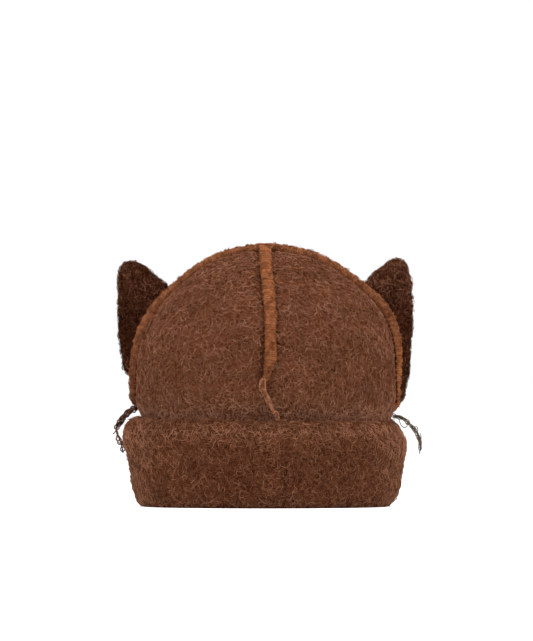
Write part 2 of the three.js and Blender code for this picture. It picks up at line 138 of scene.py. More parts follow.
def through(rows, place, first=None):
    """Values at places counted in rows, on a smooth curve through the rows."""
    rows = np.asarray(rows, float)
    place = np.asarray(place, float)
    first = 2 * rows[0] - rows[1] if first is None else first
    padded = np.vstack([first, rows, 2 * rows[-1] - rows[-2]])
    i = np.clip(np.floor(place).astype(int), 0, len(rows) - 2)
    t = (place - i)[..., None]
    p0, p1, p2, p3 = padded[i], padded[i + 1], padded[i + 2], padded[i + 3]
    bend = 2 * p0 - 5 * p1 + 4 * p2 - p3
    return (2 * p1 + (p2 - p0) * t + bend * t**2 + (3 * p1 - p0 - 3 * p2 + p3) * t**3) / 2


def length_along(points):
    """How far along the line through the points each of them is."""
    return np.concatenate([[0], np.cumsum(np.linalg.norm(np.diff(points, axis=0), axis=1))])


def evenly(points, step):
    """Points about a step apart on a smooth curve through a few."""
    fine = through(points, np.linspace(0, len(points) - 1, 40 * len(points)))
    length = length_along(fine)
    wanted = np.linspace(0, length[-1], max(4, round(length[-1] / step) + 1))
    return np.stack([np.interp(wanted, length, fine[:, k]) for k in range(fine.shape[1])], axis=1)


def unit(v):
    return v / np.maximum(np.linalg.norm(v, axis=-1, keepdims=True), 1e-12)


def smoothstep(low, high, x):
    t = np.clip((np.asarray(x, float) - low) / (high - low), 0, 1)
    return t * t * (3 - 2 * t)


CROWN_ROWS = np.array(
    [(WIDEST + r * DOME_HEIGHT, a * CROWN_HALF_WIDTH, b * CROWN_HALF_WIDTH, d * CROWN_HALF_DEPTH)
     for r, a, b, d in DOME]
    + [(WIDEST - r * TUCK_HEIGHT, g * CROWN_HALF_WIDTH, g * CROWN_HALF_WIDTH, g * CROWN_HALF_DEPTH)
       for r, g in TUCK]
    + [(CUFF_HEIGHT - s * (CUFF_HEIGHT - CROWN_FOOT), NECK_SHARE * CROWN_HALF_WIDTH,
        NECK_SHARE * CROWN_HALF_WIDTH, NECK_SHARE * CROWN_HALF_DEPTH) for s in (0.5, 1)]
)
LAST_PLACE = len(CROWN_ROWS) - 1
OVER_THE_TOP = CROWN_ROWS[1] * (1, -1, -1, -1)
_fine_places = np.linspace(0, LAST_PLACE, 6001)
_fine_rows = through(CROWN_ROWS, _fine_places, OVER_THE_TOP)


def place_at_height(height):
    return np.interp(-np.asarray(height, float), -_fine_rows[:, 0], _fine_places)


def plain_crown(angle, place):
    height, left, right, depth = np.moveaxis(through(CROWN_ROWS, place, OVER_THE_TOP), -1, 0)
    half = np.where(np.cos(angle) >= 0, right, left)
    return np.stack([half * np.cos(angle), depth * np.sin(angle), height], axis=-1)


def crown_normal(angle, place):
    high = np.clip(place + 1e-3, 2e-3, LAST_PLACE)
    along = plain_crown(angle, high) - plain_crown(angle, high - 2e-3)
    around = plain_crown(angle + 1e-3, place) - plain_crown(angle - 1e-3, place)
    normal = unit(np.cross(along, around))
    return np.where((place < 1e-3)[..., None], (0.0, 0.0, 1.0), normal)


def from_seam(angle, place):
    """Distance round the crown from the nearest seam."""
    flat = plain_crown(angle, place)[..., :2]
    nearest = np.abs(angle - QUARTER * np.round(angle / QUARTER))
    return np.linalg.norm(flat, axis=-1) * nearest


def hollow(distance, width):
    return np.exp(-(distance / width) ** 2)


def crown_point(angle, place, out=0.0):
    """A point that stands out from the cloth of the crown, in millimetres."""
    angle, place, out = np.broadcast_arrays(np.asarray(angle, float), np.asarray(place, float), out)
    sink = TROUGH_DEPTH * (1 - smoothstep(SEAM_WIDTH / 2, TROUGH_WIDTH / 2, from_seam(angle, place)))
    base = plain_crown(angle, place)
    # Low on both sides the cloth is fuller, where it folds down behind the cuff
    right, left = 1.7 * hollow(base[..., 2] - 50, 8), 1.2 * hollow(base[..., 2] - 54, 6)
    fuller = np.where(np.cos(angle) > 0, right, left) * np.cos(angle) ** 4
    return base + crown_normal(angle, place) * (out - sink + fuller)[..., None]


def beside_seam(seam, height, sideways, out):
    """A point beside a seam: sideways is its distance from the seam's plane."""
    across = seam in (0, math.pi)
    size = CROWN_HALF_DEPTH if across else CROWN_HALF_WIDTH
    lowered = WIDEST + (height - WIDEST) * np.cos(sideways / size)
    place = place_at_height(lowered)
    rows = through(CROWN_ROWS, place, OVER_THE_TOP)
    half = rows[..., 3] if across else np.where(sideways >= 0, rows[..., 2], rows[..., 1])
    turn = np.arcsin(np.clip(sideways / np.maximum(half, 1e-6), -1, 1))
    return crown_point(seam + (turn if seam in (0, -QUARTER) else -turn), place, out)


def bumps(points, size, seed):
    """Soft noise, from -1 to 1, at points in millimetres."""
    shift = 37.0 * seed
    return np.array([noise.noise(Vector((x / size + shift, y / size, z / size - shift)))
                     for x, y, z in points])


# Meshes

def new_object(name, data):
    obj = bpy.data.objects.new(name, data)
    bpy.context.scene.collection.objects.link(obj)
    return obj


def from_bmesh(name, bm):
    mesh = bpy.data.meshes.new(name)
    bm.to_mesh(mesh)
    bm.free()
    mesh.polygons.foreach_set("use_smooth", [True] * len(mesh.polygons))
    return new_object(name, mesh)


def co_array(bm):
    return np.array([v.co for v in bm.verts])


def set_co(bm, points):
    for v, p in zip(bm.verts, points):
        v.co = p


def from_arrays(name, verts, faces, tint=None):
    """A smooth mesh, in metres, from vertices in millimetres and triangles or quads."""
    mesh = bpy.data.meshes.new(name)
    counts = np.concatenate([np.full(len(f), f.shape[1]) for f in faces])
    loops = np.concatenate([f.ravel() for f in faces])
    mesh.vertices.add(len(verts))
    mesh.vertices.foreach_set("co", (verts * MM).astype(np.float32).ravel())
    mesh.loops.add(len(loops))
    mesh.loops.foreach_set("vertex_index", loops.astype(np.int32))
    mesh.polygons.add(len(counts))
    mesh.polygons.foreach_set("loop_start", np.concatenate([[0], np.cumsum(counts)[:-1]]).astype(np.int32))
    mesh.polygons.foreach_set("use_smooth", np.ones(len(counts), bool))
    if tint is not None:
        mesh.attributes.new("tint", "FLOAT", "POINT").data.foreach_set("value", tint.astype(np.float32))
    mesh.update(calc_edges=True)
    return new_object(name, mesh)


def swept(name, paths, radii, ups, sides, tint=None):
    """Many closed tubes in one mesh. Each path is a tip, points with a ring each, and another tip."""
    count = len(paths)
    rings = paths.shape[1] - 2
    tangent = unit(np.gradient(paths, axis=1))[:, 1:-1]
    side = unit(np.cross(tangent, ups[:, None, :]))
    over = np.cross(side, tangent)
    turn = 2 * np.pi * np.arange(sides) / sides
    spoke = side[:, :, None] * np.cos(turn)[:, None] + over[:, :, None] * np.sin(turn)[:, None]
    ring = paths[:, 1:-1, None] + spoke * radii[..., None, None]
    verts = np.concatenate([ring.reshape(count, rings * sides, 3), paths[:, [0, -1]]], axis=1)
    size = rings * sides + 2
    j = np.arange(sides)
    k = (j + 1) % sides
    last = (rings - 1) * sides
    caps = np.concatenate([
        np.stack([k, j, np.full(sides, size - 2)], axis=-1),
        np.stack([last + j, last + k, np.full(sides, size - 1)], axis=-1),
    ])
    offset = (np.arange(count) * size)[:, None, None]
    faces = [(caps + offset).reshape(-1, 3)]
    if rings > 1:
        start = (np.arange(rings - 1) * sides)[:, None]
        quads = np.stack([start + j, start + k, start + k + sides, start + j + sides], axis=-1).reshape(-1, 4)
        faces.append((quads + offset).reshape(-1, 4))
    if tint is not None:
        tint = np.repeat(tint, size)
    return from_arrays(name, verts.reshape(-1, 3), faces, tint)


def with_tips(paths, reach):
    """Paths with a blunt tip added a little past both ends of each."""
    first = paths[:, 0] - unit(paths[:, 1] - paths[:, 0]) * reach
    last = paths[:, -1] + unit(paths[:, -1] - paths[:, -2]) * reach
    return np.concatenate([first[:, None], paths, last[:, None]], axis=1)


def sheet(columns, rows):
    """A flat sheet of squares, with how far across it each point is and which row of points it is in."""
    bm = bmesh.new()
    bmesh.ops.create_grid(bm, x_segments=columns, y_segments=rows - 1, size=0.5)
    across, down, _ = co_array(bm).T + 0.5
    return bm, across, np.rint(down * (rows - 1)).astype(int)


def add_crease_shade(bm, values):
    """Painted shade at each point of a piece of cloth, darker in its creases, which its material reads."""
    layer = bm.verts.layers.float.new("crease_and_shade")
    for v, value in zip(bm.verts, values):
        v[layer] = value


def place_piece(obj, material, slot, node=None):
    """A piece's material and body, and the solid that it replaces if there is one. Its slot is not used."""
    obj.data.materials.clear()
    obj.data.materials.append(material)
    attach(obj, "root")
    if node:
        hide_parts(node)
    return obj


# Materials

def add_node(tree, kind, inputs, **settings):
    """A shader node. Each of its inputs is given a value or another node's output."""
    node = tree.nodes.new(kind)
    for key, value in settings.items():
        setattr(node, key, value)
    for key, value in inputs.items():
        if isinstance(value, bpy.types.NodeSocket):
            tree.links.new(value, node.inputs[key])
        else:
            node.inputs[key].default_value = value
    return node


def maths(tree, operation, *inputs):
    return add_node(tree, "ShaderNodeMath", dict(enumerate(inputs)), operation=operation).outputs[0]


def mottle(tree, place, **inputs):
    return add_node(tree, "ShaderNodeTexNoise", {"Vector": place, **inputs}).outputs[0]


def mixed(tree, share, first, second, **settings):
    inputs = {0: share, 6: first, 7: second}
    return add_node(tree, "ShaderNodeMix", inputs, data_type="RGBA", **settings).outputs[2]


def attribute(tree, name):
    return add_node(tree, "ShaderNodeAttribute", {}, attribute_name=name).outputs["Fac"]


def own_place(tree):
    return add_node(tree, "ShaderNodeTexCoord", {}).outputs["Object"]


def relief(tree, height, strength, distance):
    inputs = {"Height": height, "Strength": strength, "Distance": distance}
    return add_node(tree, "ShaderNodeBump", inputs).outputs[0]


def ramp(tree, share, stops):
    node = add_node(tree, "ShaderNodeValToRGB", {0: share})
    elements = node.color_ramp.elements
    while len(elements) < len(stops):
        elements.new(0.5)
    for element, (position, colour) in zip(elements, stops):
        element.position = position
        element.color = (*colour, 1)
    return node.outputs[0]


def wool_group():
    """Curled hairs over a felted ground: how much hair shows, how high it stands, and slow patches."""
    group = bpy.data.node_groups.new("brushed wool", "ShaderNodeTree")
    group.interface.new_socket("Place", in_out="INPUT", socket_type="NodeSocketVector")
    for name in ("Hairs", "Height", "Patches"):
        group.interface.new_socket(name, in_out="OUTPUT", socket_type="NodeSocketFloat")
    place = group.nodes.new("NodeGroupInput").outputs["Place"]
    curls = None
    for i, (scale, thin) in enumerate(((210, 0.035), (330, 0.045), (520, 0.06))):
        shifted = add_node(group, "ShaderNodeVectorMath", {0: place, 1: (0.13 * i, 0.07 * i, -0.11 * i)},
                           operation="ADD").outputs[0]
        wandering = mottle(group, shifted, Scale=scale, Detail=1.5, Roughness=0.5, Distortion=0.9)
        away = maths(group, "ABSOLUTE", maths(group, "SUBTRACT", wandering, 0.5))
        line = add_node(group, "ShaderNodeMapRange", {"Value": away, "From Min": thin, "From Max": 0.0},
                        interpolation_type="SMOOTHSTEP").outputs[0]
        curls = line if curls is None else maths(group, "MAXIMUM", curls, line)
    felt = mottle(group, place, Scale=620, Detail=4, Roughness=0.65)
    patches = mottle(group, place, Scale=85, Detail=3, Roughness=0.6)
    height = maths(group, "ADD", curls, felt)
    add_node(group, "NodeGroupOutput", {"Hairs": curls, "Height": height, "Patches": patches})
    return group


WOOL = wool_group()


def start_material(name, roughness, specular=0.01):
    material = bpy.data.materials.new(name)
    material.use_nodes = True
    tree = material.node_tree
    shader = tree.nodes["Principled BSDF"]
    shader.inputs["Roughness"].default_value = roughness
    shader.inputs["Specular IOR Level"].default_value = specular
    return material, tree, shader


def wool_ground(name, dark, middle, light):
    """The felted cloth under the loose hairs, with painted shade in its creases."""
    material, tree, shader = start_material(name, 0.95)
    wool = add_node(tree, "ShaderNodeGroup", {"Place": own_place(tree)}, node_tree=WOOL).outputs
    felt = ramp(tree, wool["Patches"], [(0.34, dark), (0.66, middle)])
    woolly = mixed(tree, wool["Hairs"], felt, (*light, 1))
    # Painted shade: darker where the cloth creases
    shaded_in_creases = mixed(tree, attribute(tree, "crease_and_shade"), woolly, (*(0.3 * c for c in dark), 1))
    tree.links.new(shaded_in_creases, shader.inputs["Base Color"])
    tree.links.new(relief(tree, wool["Height"], 0.5, 0.0006), shader.inputs["Normal"])
    return material


def wool_hair(name, dark, middle, light, patchy=(0.72, 1.12)):
    """Loose hairs, each tinted by its own attribute, with slow patches over them all."""
    material, tree, shader = start_material(name, 0.8)
    colours = ramp(tree, attribute(tree, "tint"), [(0.0, dark), (0.5, middle), (1.0, light)])
    patches = mottle(tree, own_place(tree), Scale=60, Detail=3, Roughness=0.6)
    shade = ramp(tree, patches, [(0.3, [patchy[0]] * 3), (0.7, [patchy[1]] * 3)])
    tree.links.new(mixed(tree, 1.0, colours, shade, blend_type="MULTIPLY"), shader.inputs["Base Color"])
    return material


def thread(name, plain, tinted=None):
    """Spun thread with a fine mottle, in one dye or in two that its own attribute mixes."""
    material, tree, shader = start_material(name, 0.8)
    place = own_place(tree)
    spun = mottle(tree, place, Scale=900, Detail=3, Roughness=0.6)
    slow = mottle(tree, place, Scale=260, Detail=2, Roughness=0.6)
    both = maths(tree, "MULTIPLY_ADD", spun, 0.45, maths(tree, "MULTIPLY", slow, 0.6))
    dyes = [ramp(tree, both, [(0.38, dye[0]), (0.64, dye[1])]) for dye in (plain, tinted) if dye]
    colour = mixed(tree, attribute(tree, "tint"), *dyes) if tinted else dyes[0]
    tree.links.new(colour, shader.inputs["Base Color"])
    tree.links.new(relief(tree, spun, 0.4, 0.0002), shader.inputs["Normal"])
    return material


crown_ground = wool_ground("crown felt", (0.038, 0.0105, 0.0032), (0.11, 0.034, 0.0125), (0.19, 0.07, 0.034))
# The cuff's felt and hair are darker than the crown's: partly the cuff's own dye, partly painted shade on its
# front face
cuff_ground = wool_ground("cuff felt", (0.026, 0.0068, 0.0024), (0.084, 0.026, 0.01), (0.16, 0.058, 0.029))
ear_ground = wool_ground("ear felt", (0.008, 0.002, 0.0006), (0.038, 0.0098, 0.0035), (0.09, 0.031, 0.015))
crown_hair = wool_hair("crown hair", (0.075, 0.021, 0.0062), (0.192, 0.065, 0.029), (0.385, 0.18, 0.112))
cuff_hair = wool_hair("cuff hair", (0.046, 0.0125, 0.004), (0.152, 0.049, 0.021), (0.385, 0.172, 0.097),
                      (0.64, 1.18))
ear_hair = wool_hair("ear hair", (0.012, 0.0026, 0.0007), (0.062, 0.017, 0.0066), (0.28, 0.12, 0.068))
fuzz_hair = wool_hair("overlock fuzz", (0.14, 0.046, 0.015), (0.27, 0.098, 0.038), (0.42, 0.175, 0.085))
rust_thread = thread("rust overlock thread", ((0.115, 0.034, 0.012), (0.32, 0.116, 0.048)),
                     ((0.16, 0.051, 0.017), (0.36, 0.132, 0.052)))
side_thread = thread("side overlock thread", ((0.11, 0.036, 0.014), (0.29, 0.108, 0.05)),
                     ((0.14, 0.046, 0.016), (0.34, 0.125, 0.048)))
pale_thread = thread("pale serger thread", ((0.11, 0.038, 0.016), (0.35, 0.148, 0.078)))
# Nearly black: a stitch line partly darkened into painted shade at the fin's foot
stitch_and_shade_thread = thread("side stitches and painted shade", ((0.022, 0.0065, 0.0025), (0.06, 0.019, 0.008)))
dark_thread = thread("dark serger thread", ((0.022, 0.0095, 0.006), (0.105, 0.048, 0.03)))
grey_thread = thread("faded serger thread", ((0.05, 0.034, 0.022), (0.2, 0.14, 0.1)))
red_thread = thread("curled serger thread", ((0.06, 0.024, 0.014), (0.2, 0.1, 0.068)))


# The camera

def aim(obj, target):
    obj.rotation_euler = (Vector(target) - obj.location).to_track_quat("-Z", "Y").to_euler()


# In metres: how far in front of the hat and aside the camera is, and the height that it shows
CAMERA_AWAY = 9.0
CAMERA_ASIDE = 0.0005
SHOWN_HEIGHT = 0.3397
# In millimetres
SENSOR_HEIGHT = 24

camera_data = bpy.data.cameras.new("camera")
camera = new_object("camera", camera_data)
camera_data.sensor_fit = "VERTICAL"
camera_data.sensor_height = SENSOR_HEIGHT
camera_data.lens = SENSOR_HEIGHT * CAMERA_AWAY / SHOWN_HEIGHT
camera_data.clip_end = 40
camera.location = (CAMERA_ASIDE, -CAMERA_AWAY, 0.0988 + CAMERA_AWAY * math.tan(math.radians(0.25)))
aim(camera, (CAMERA_ASIDE, 0.0, 0.0986))
bpy.context.scene.camera = camera


# The thread tails

def thread_chain(name, node, route, core, material, slot, thins, end):
    """The middle of a serger's chain: one soft thread along the route, which narrows towards its end."""
    path = evenly(np.array(route) / MM, 0.35)
    along = length_along(path)
    size = 1 - (1 - end) * smoothstep(*thins, along / along[-1])
    radii = core * size * (1 + 0.2 * np.sin(along * 4.1))
    obj = swept(name, with_tips(path[None], core * 0.6), radii[None], np.array([(0.31, 0.9, 0.3)]), 8)
    return place_piece(obj, material, slot, node), float(along[-1])


def frame_of(path):
    """Directions beside a path, towards the front and sideways."""
    tangent = unit(np.gradient(path, axis=0))
    up = unit(np.cross(tangent, np.cross((0.0, -1.0, 0.0), tangent)))
    return up, np.cross(tangent, up)


def thread_links(name, route, stitch, material, slot, seed, last=1.0, narrows=0.0):
    """The looped stitches of a chain. Each is a long loop that lies over the one before it."""
    apart, reach, wide, radius = stitch
    rng = np.random.default_rng(seed)
    path = evenly(np.array(route) / MM, 0.1)
    up, side = frame_of(path)
    starts = np.arange(0.2, last * 0.1 * len(path) - reach * 0.8, apart)
    turn = np.linspace(0, 2 * np.pi, 15)
    loops = []
    for i, start in enumerate(starts):
        long, broad = reach * rng.uniform(0.85, 1.2), wide * rng.uniform(0.75, 1.2)
        tip = rng.uniform(-0.7, 0.7)
        broad *= 1 - narrows * smoothstep(6, 20, start)
        at = np.clip(((start + long * (1 - np.cos(turn)) / 2) * 10).astype(int), 0, len(path) - 1)
        sideways = broad / 2 * np.sin(turn) * (1 - 0.35 * np.cos(turn)) + 0.12 * rng.normal()
        over = 0.35 * np.sin(turn + i) + 0.25 * radius * (i % 2)
        flat = side[at] * math.cos(tip) + up[at] * math.sin(tip)
        high = up[at] * math.cos(tip) - side[at] * math.sin(tip)
        loops.append(path[at] + flat * sideways[:, None] + high * over[:, None])
    loops = np.array(loops)
    loops[:, [0, -1]] = 0.2 * loops[:, [0, -1]] + 0.8 * loops[:, [1, -2]]
    radii = radius * rng.uniform(0.8, 1.25, (len(loops), 1))
    obj = swept(name, with_tips(loops, radius * 0.4), radii, np.array([(0.13, 0.92, 0.35)]), 6)
    return place_piece(obj, material, slot)


def small_ring(x, y, z, radius, start, tilt=0.35):
    """Points round one small curl, a little open, and tipped towards the front."""
    turn = np.radians(start + np.linspace(0, 380, 16))
    return [(x + radius * math.cos(a), y - tilt * radius * math.sin(a + 0.8), z + radius * math.sin(a))
            for a in turn]


def loose_threads(name, paths, radius, material, slot):
    """Thin single threads of a tail, each on a smooth curve through a few points in millimetres."""
    even = np.array([through(path, np.linspace(0, len(path) - 1, 24)) for path in paths])
    obj = swept(name, with_tips(even, radius), np.array([[radius]]), np.array([(0.11, 0.93, 0.33)]), 5)
    return place_piece(obj, material, slot)


front_tail, front_length = thread_chain(
    "front_thread_tail", "front_tail", FRONT_TAIL, 0.6, pale_thread, "overlock_thread", (0.3, 0.7), 0.7)
left_tail, left_length = thread_chain(
    "left_thread_tail", "left_tail", LEFT_TAIL, 0.78, dark_thread, "tail_thread", (0.5, 0.6), 0.6)
right_tail, right_length = thread_chain(
    "right_thread_tail", "right_tail", RIGHT_TAIL, 0.42, grey_thread, "tail_thread", (0.6, 0.95), 0.5)

# How far apart the stitches are, and each one's length, width and thread radius
front_links = thread_links("front_tail_stitches", FRONT_TAIL, (1.7, 3.4, 2.3, 0.36), pale_thread,
                           "overlock_thread", 61, 1.0, 0.5)
left_links = thread_links("left_tail_stitches", LEFT_TAIL, (1.5, 2.4, 2.7, 0.42), dark_thread,
                          "tail_thread", 62, 0.58)
right_links = thread_links("right_tail_stitches", RIGHT_TAIL, (1.7, 3.3, 1.7, 0.25), grey_thread,
                           "tail_thread", 63, 0.98)


def at_pixel(points, y):
    """Points in millimetres from places in the picture, each 0.1 mm further forward than the last."""
    return [((px - MIDDLE_COLUMN) * PIXEL, y - 0.1 * i, (FOOT_ROW - py) * PIXEL)
            for i, (px, py) in enumerate(points)]


left_curls = loose_threads("left_tail_curls", [
    small_ring(-70.6, -2.6, 52.3, 0.95, 30),
    small_ring(-73.6, -3.4, 50.0, 1.05, 130),
    small_ring(-76.6, -4.2, 46.4, 1.0, 210),
    small_ring(-78.3, -5.0, 35.9, 0.95, 100),
    small_ring(-77.4, -5.2, 34.0, 1.05, 150),
    small_ring(-75.7, -9.2, 30.5, 1.2, 60),
    at_pixel([(115.8, 428.6), (117.6, 432), (118.4, 435.4), (120.6, 438.4), (122.2, 441.6), (122.6, 445),
              (124.6, 447.4)], -5.4),
    at_pixel([(116.4, 429.5), (115.4, 431.6), (114.2, 433.4), (113.2, 434.2)], -3.8),
    at_pixel([(118.2, 434), (116.6, 436.6), (117.2, 441), (119.2, 443.4), (121.6, 444.6),
              (121.4, 447.2)], -4.9),
], 0.3, red_thread, "tail_thread")
right_fray = loose_threads("right_tail_fray", [
    at_pixel([(398.6, 418.6), (399.4, 421.6), (400.8, 425), (403.6, 427.8), (406.4, 427),
              (407.8, 424)], -3.6),
    at_pixel([(405.6, 420.2), (405, 422), (406.2, 424.4), (408.6, 424.6), (409.4, 422),
              (407.8, 420.2)], -4.4),
    at_pixel([(414.6, 428.4), (414.9, 433), (416.4, 438), (418.9, 441.6), (421, 439),
              (420.2, 433.6)], -8.2),
    at_pixel([(414.6, 427), (416.8, 427.4), (417.6, 430), (416.6, 432.6), (414.8, 432),
              (413.6, 429.6)], -7.4),
    at_pixel([(419.6, 441.5), (420, 444), (420.1, 447.4), (419.7, 450), (419.2, 452.2),
              (419.5, 454)], -8.2),
], 0.23, grey_thread, "tail_thread")
front_curl = loose_threads("front_tail_curl", [
    at_pixel([(273.6, 412.4), (275.6, 410.4), (277.9, 412.6), (278.7, 416.4), (277.6, 419.8),
              (275.6, 418.4)], -74.2),
    at_pixel([(264.8, 377), (265.2, 381), (265, 386), (266, 391), (268, 396.6), (270.4, 402)], -76.8),
], 0.38, pale_thread, "overlock_thread")


# The crown

def places_by_length(step, low_step):
    """Places down the crown about a step apart, wider apart where the cuff hides it."""
    length = length_along(plain_crown(np.full(len(_fine_places), QUARTER / 2), _fine_places))
    rim = float(np.interp(place_at_height(CUFF_HEIGHT - 8), _fine_places, length))
    wanted = np.concatenate([
        np.linspace(0, rim, round(rim / step), endpoint=False),
        np.linspace(rim, length[-1], round((length[-1] - rim) / low_step) + 1),
    ])
    return np.interp(wanted, length, _fine_places)


PLACES = places_by_length(1.6, 3.5)
ACROSS = 60


def seam_start():
    """How far down the front or back the centre seams begin, beside the arch."""
    start = ARCH_WIDTH / 2 + 0.6 + ARCH_HEIGHT * 0.25
    return float(np.interp(start, _fine_rows[:3000, 3], _fine_places[:3000]))


def seam_edges(rows, foot_height, place, start=seam_start()):
    """Shift and width, in millimetres, of a centre seam's allowance at places down the crown."""
    foot = float(place_at_height(foot_height))
    table = np.array(rows)
    share = np.clip((place - start) / (foot - start), 0, 1)
    values = through(table, np.interp(share, table[:, 0], np.arange(len(table))))
    return values[..., 1] * SEAM_WIDTH, values[..., 2] * SEAM_WIDTH


def crease_and_shade_beside_seams(points, place):
    """How much a point lies in the crease beside an allowance, from 0 to 1: the cloth sinks there and painted
    shade darkens it.
    """
    x, y, z = points.T
    front = y < 0
    shift, width = seam_edges(FRONT_SEAM, FRONT_SEAM_FOOT, place)
    long_enough = smoothstep(FRONT_SEAM_FOOT - 2, FRONT_SEAM_FOOT + 3, z) * (np.abs(y) > ARCH_WIDTH / 2)
    low = smoothstep(97, 86, z)
    left = (0.42 + 0.18 * low) * hollow(x - (shift - width / 2 - 0.6 - 0.6 * low), 1.2 + 0.7 * low)
    right = (0.32 - 0.24 * low + 0.12 * np.sin(z / 3.1)) * hollow(x - (shift + width / 2 + 0.5), 1.0)
    below = hollow(x - 2.6, 1.5) * hollow(z - 63, 3.5) * 0.3
    down_front = np.maximum(np.maximum(left, right) * long_enough, below) * front
    _, back_width = seam_edges(BACK_SEAM, BACK_SEAM_FOOT, place)
    down_back = 0.6 * hollow(np.abs(x) - (back_width / 2 + 0.4), 0.8) * ~front * (z > BACK_SEAM_FOOT)
    # Beside the arch the painted shade is broken into dots along its stitches
    stitched_shade = 0.62 + 0.38 * np.sin(2 * np.pi * z / 3.1) * np.sin(2 * np.pi * x / 3.7)
    sides = stitched_shade * hollow(np.abs(y) - (ARCH_WIDTH / 2 + 0.6), 1.0) * (z > CUFF_HEIGHT + 5)
    return np.maximum(np.maximum(down_front, down_back), sides)


def crown_panel(name, start, node):
    """A gore of the crown: its outer face, given the thickness of the knit on the inside."""
    bm, share, row = sheet(ACROSS, len(PLACES))
    angle = start + QUARTER * (share - 0.5 * np.sin(2 * np.pi * share) / (2 * np.pi))
    place = PLACES[row]
    base = plain_crown(angle, place)
    away = smoothstep(3.5, 12, from_seam(angle, place))
    away = away * smoothstep(CUFF_HEIGHT - 6, CUFF_HEIGHT + 8, base[:, 2])
    soft = 0.7 * bumps(base, 26, 1) + 0.35 * bumps(base, 11, 2)
    nap = 0.22 * bumps(base, 3.4, 3)
    # The crease beside each allowance sinks the cloth and carries painted shade
    crease_and_shade = crease_and_shade_beside_seams(base, place)
    points = crown_point(angle, place, (soft + nap) * away - 0.9 * crease_and_shade)
    middle = start + QUARTER / 2
    points += np.array([np.sign(math.cos(middle)), np.sign(math.sin(middle)), 0]) * 0.15
    set_co(bm, points * MM)
    add_crease_shade(bm, crease_and_shade)
    bmesh.ops.remove_doubles(bm, verts=bm.verts, dist=2e-6)
    bmesh.ops.recalc_face_normals(bm, faces=bm.faces)
    top = max(bm.faces, key=lambda f: f.calc_center_median().z)
    if top.normal.z < 0:
        bmesh.ops.reverse_faces(bm, faces=bm.faces)
    bmesh.ops.solidify(bm, geom=bm.faces[:], thickness=FABRIC * MM)
    return place_piece(from_bmesh(name, bm), crown_ground, "crown_knit", node)


panels = [
    crown_panel("crown_front_left", -2 * QUARTER, "panel_front_left"),
    crown_panel("crown_front_right", -QUARTER, "panel_front_right"),
    crown_panel("crown_back_right", 0.0, "panel_back_right"),
    crown_panel("crown_back_left", QUARTER, "panel_back_left"),
]


# The cuff

def cuff_outline():
    up = [(o * CUFF_REACH, r * CUFF_HEIGHT) for r, o in FOLD_ROWS]
    up += [(o * CUFF_REACH, r * CUFF_HEIGHT) for r, o, _ in CUFF_ROWS]
    down = [(i * CUFF_REACH, r * CUFF_HEIGHT) for r, _, i in reversed(CUFF_ROWS)]
    inner = [(0.11 * CUFF_REACH, 6.4), (0.5, FOLD), (-0.6, FOLD - 0.1), (-2.6, FOLD - 0.1), (-FABRIC, 3.4),
             (-FABRIC, 1.2), (-2.8, 0.1), (-1.4, 0.0)]
    return evenly(up + down + inner + up[:1], 1.45)[:-1]


def cuff_seam_shade(along, front, height):
    """Painted shade in the groove of the cuff's own seam, low down in front; along is the way round from it.
    """
    return 0.8 * hollow(along + 0.03 * (height - 10), 0.75) * (front < 0) * smoothstep(26, 15, height)


def cuff_piece():
    """The band's outline spun round, then every point moved out to its place on an uneven oval."""
    bm = bmesh.new()
    ring = [bm.verts.new((10 + d / 20, 0, z)) for d, z in cuff_outline()]
    edges = [bm.edges.new((ring[i], ring[(i + 1) % len(ring)])) for i in range(len(ring))]
    bmesh.ops.spin(bm, geom=ring + edges, cent=(0, 0, 0), axis=(0, 0, 1), angle=2 * math.pi, steps=300,
                   use_merge=True)
    bmesh.ops.remove_doubles(bm, verts=bm.verts, dist=1e-4)
    raw = co_array(bm)
    angle = np.arctan2(raw[:, 1], raw[:, 0])
    out = (np.hypot(raw[:, 0], raw[:, 1]) - 10) * 20
    height = raw[:, 2]
    rise = height / CUFF_HEIGHT
    wall = smoothstep(0.12, 0.5, rise)
    spot = np.stack([74 * np.cos(angle), 80 * np.sin(angle), height], axis=1)
    face = np.where(out > 0.44 * CUFF_REACH * np.clip(rise, 0.3, 1), 1.0, 0.0)
    soft = 0.75 * bumps(spot, 34, 5) + 0.4 * bumps(spot, 12, 6)
    nap = 0.25 * bumps(spot, 3.4, 7)
    out = out + (soft * wall + nap * smoothstep(0.02, 0.15, rise)) * np.maximum(face, 0.35 * wall)
    sway = -np.cos(angle)
    height = height + wall * (1.6 * sway * smoothstep(0.25, 0.8, rise) * (1 - 0.6 * smoothstep(0.9, 1, rise)))
    height = height + wall * 0.7 * bumps(spot * (1, 1, 0), 30, 8)
    along = spot[:, 0] - CUFF_SEAM_ASIDE
    groove = hollow(along, 0.9) * (np.sin(angle) < 0) * face
    out = out - groove * (1.3 * (1 - smoothstep(17, 24, height)) + 0.35) * smoothstep(0.5, 3, height)
    # Painted shade in the seam's groove
    crease_and_shade = cuff_seam_shade(along, np.sin(angle), height) * face
    table = np.array(CUFF_SIDES)
    left, right = (np.interp(height, table[:, 0], table[:, k]) for k in (1, 2))
    out = out + face * np.abs(np.cos(angle)) ** 3 * np.where(np.cos(angle) > 0, right, left)
    half_x = NECK_SHARE * CROWN_HALF_WIDTH + out
    half_y = NECK_SHARE * CROWN_HALF_DEPTH + out
    points = np.stack([half_x * np.cos(angle), half_y * np.sin(angle), np.maximum(height, 0)], axis=1)
    set_co(bm, points * MM)
    add_crease_shade(bm, crease_and_shade)
    bmesh.ops.recalc_face_normals(bm, faces=bm.faces)
    return place_piece(from_bmesh("turned_up_cuff", bm), cuff_ground, "cuff_knit", "cuff")


cuff = cuff_piece()


# The ears

